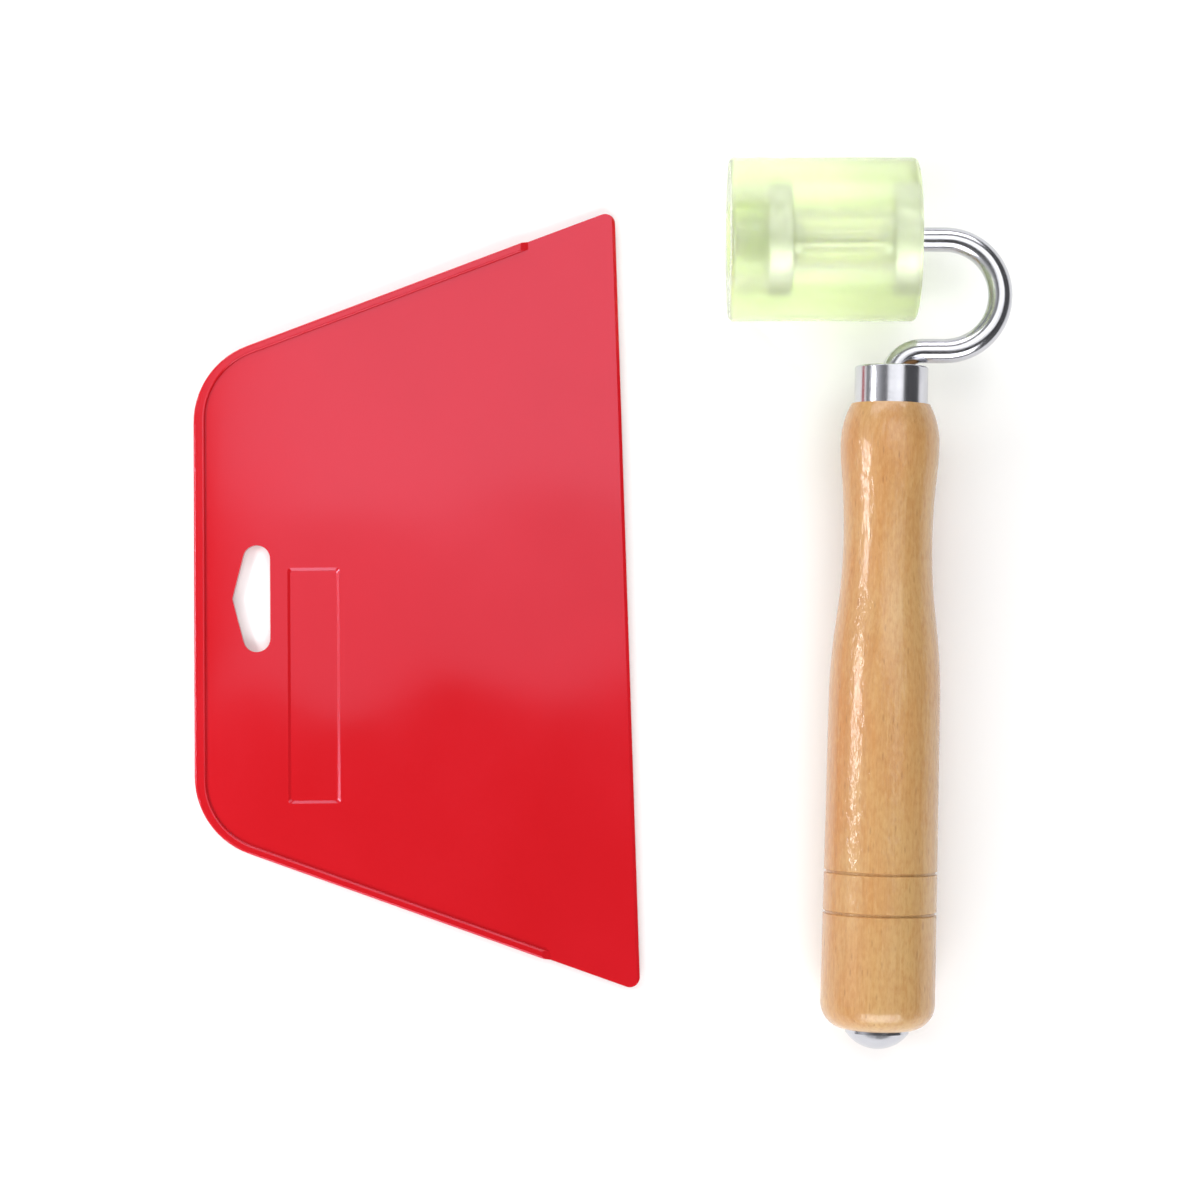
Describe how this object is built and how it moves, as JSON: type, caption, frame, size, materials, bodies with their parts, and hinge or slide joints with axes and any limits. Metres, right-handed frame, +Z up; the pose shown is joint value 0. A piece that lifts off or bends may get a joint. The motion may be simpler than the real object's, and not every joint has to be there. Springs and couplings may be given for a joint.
{
  "type": "squeegee applicator set",
  "caption": "Hand squeegee for smoothing film, a thin tapered plate with a raised rim and hang slot, with a wooden-handled press roller on ball bearings beside it.",
  "frame": {"origin": "on the plane both tools lie on, at the middle of the set's footprint", "axes": "+X along the roller's axle towards the hook, +Y from the handle's butt towards the roller, +Z up"},
  "size_m": [0.2032, 0.218, 0.04],
  "materials": {
    "red_plastic": "satin",
    "lacquered_beech": "gloss",
    "chrome_steel": "polished",
    "clear_polyurethane": "satin",
    "bearing_steel": "satin",
    "zinc_steel": "satin",
    "cage_nylon": "matte",
    "insert_nylon": "satin"
  },
  "bodies": {
    "squeegee": {"squeegee": "red_plastic"},
    "roller_frame": {"handle": "lacquered_beech", "ferrule": "chrome_steel", "frame_rod": "chrome_steel", "butt_cap_nut": "chrome_steel", "left_stop_collar": "zinc_steel", "right_stop_collar": "zinc_steel", "axle_washer": "zinc_steel", "lock_nut": "zinc_steel", "lock_nut_insert": "insert_nylon", "left_inner_race": "bearing_steel", "right_inner_race": "bearing_steel"},
    "roller": {"roller_tyre": "clear_polyurethane", "left_outer_race": "bearing_steel", "left_outboard_shield": "bearing_steel", "left_inboard_shield": "bearing_steel", "right_outer_race": "bearing_steel", "right_outboard_shield": "bearing_steel", "right_inboard_shield": "bearing_steel"},
    "left_ball_set": {"left_cage": "cage_nylon", "left_balls": "bearing_steel"},
    "right_ball_set": {"right_cage": "cage_nylon", "right_balls": "bearing_steel"}
  },
  "joints": [
    {"name": "roller_tool_lift", "type": "slide", "parent": "squeegee", "child": "roller_frame", "axis": [0, 0, 1], "range_m": [0, 0.15]},
    {"name": "roller_spin", "type": "hinge", "parent": "roller_frame", "child": "roller", "pos_m": [0.05489, 0.08899, 0.02], "axis": [1, 0, 0], "continuous": true},
    {"name": "left_cage_spin", "type": "hinge", "parent": "roller_frame", "child": "left_ball_set", "pos_m": [0.04429, 0.08899, 0.02], "axis": [1, 0, 0], "continuous": true},
    {"name": "right_cage_spin", "type": "hinge", "parent": "roller_frame", "child": "right_ball_set", "pos_m": [0.07469, 0.08899, 0.02], "axis": [1, 0, 0], "continuous": true}
  ],
  "couplings": [
    {"joint": "left_cage_spin", "follows": "roller_spin", "ratio": 0.64},
    {"joint": "right_cage_spin", "follows": "roller_spin", "ratio": 0.64}
  ]
}
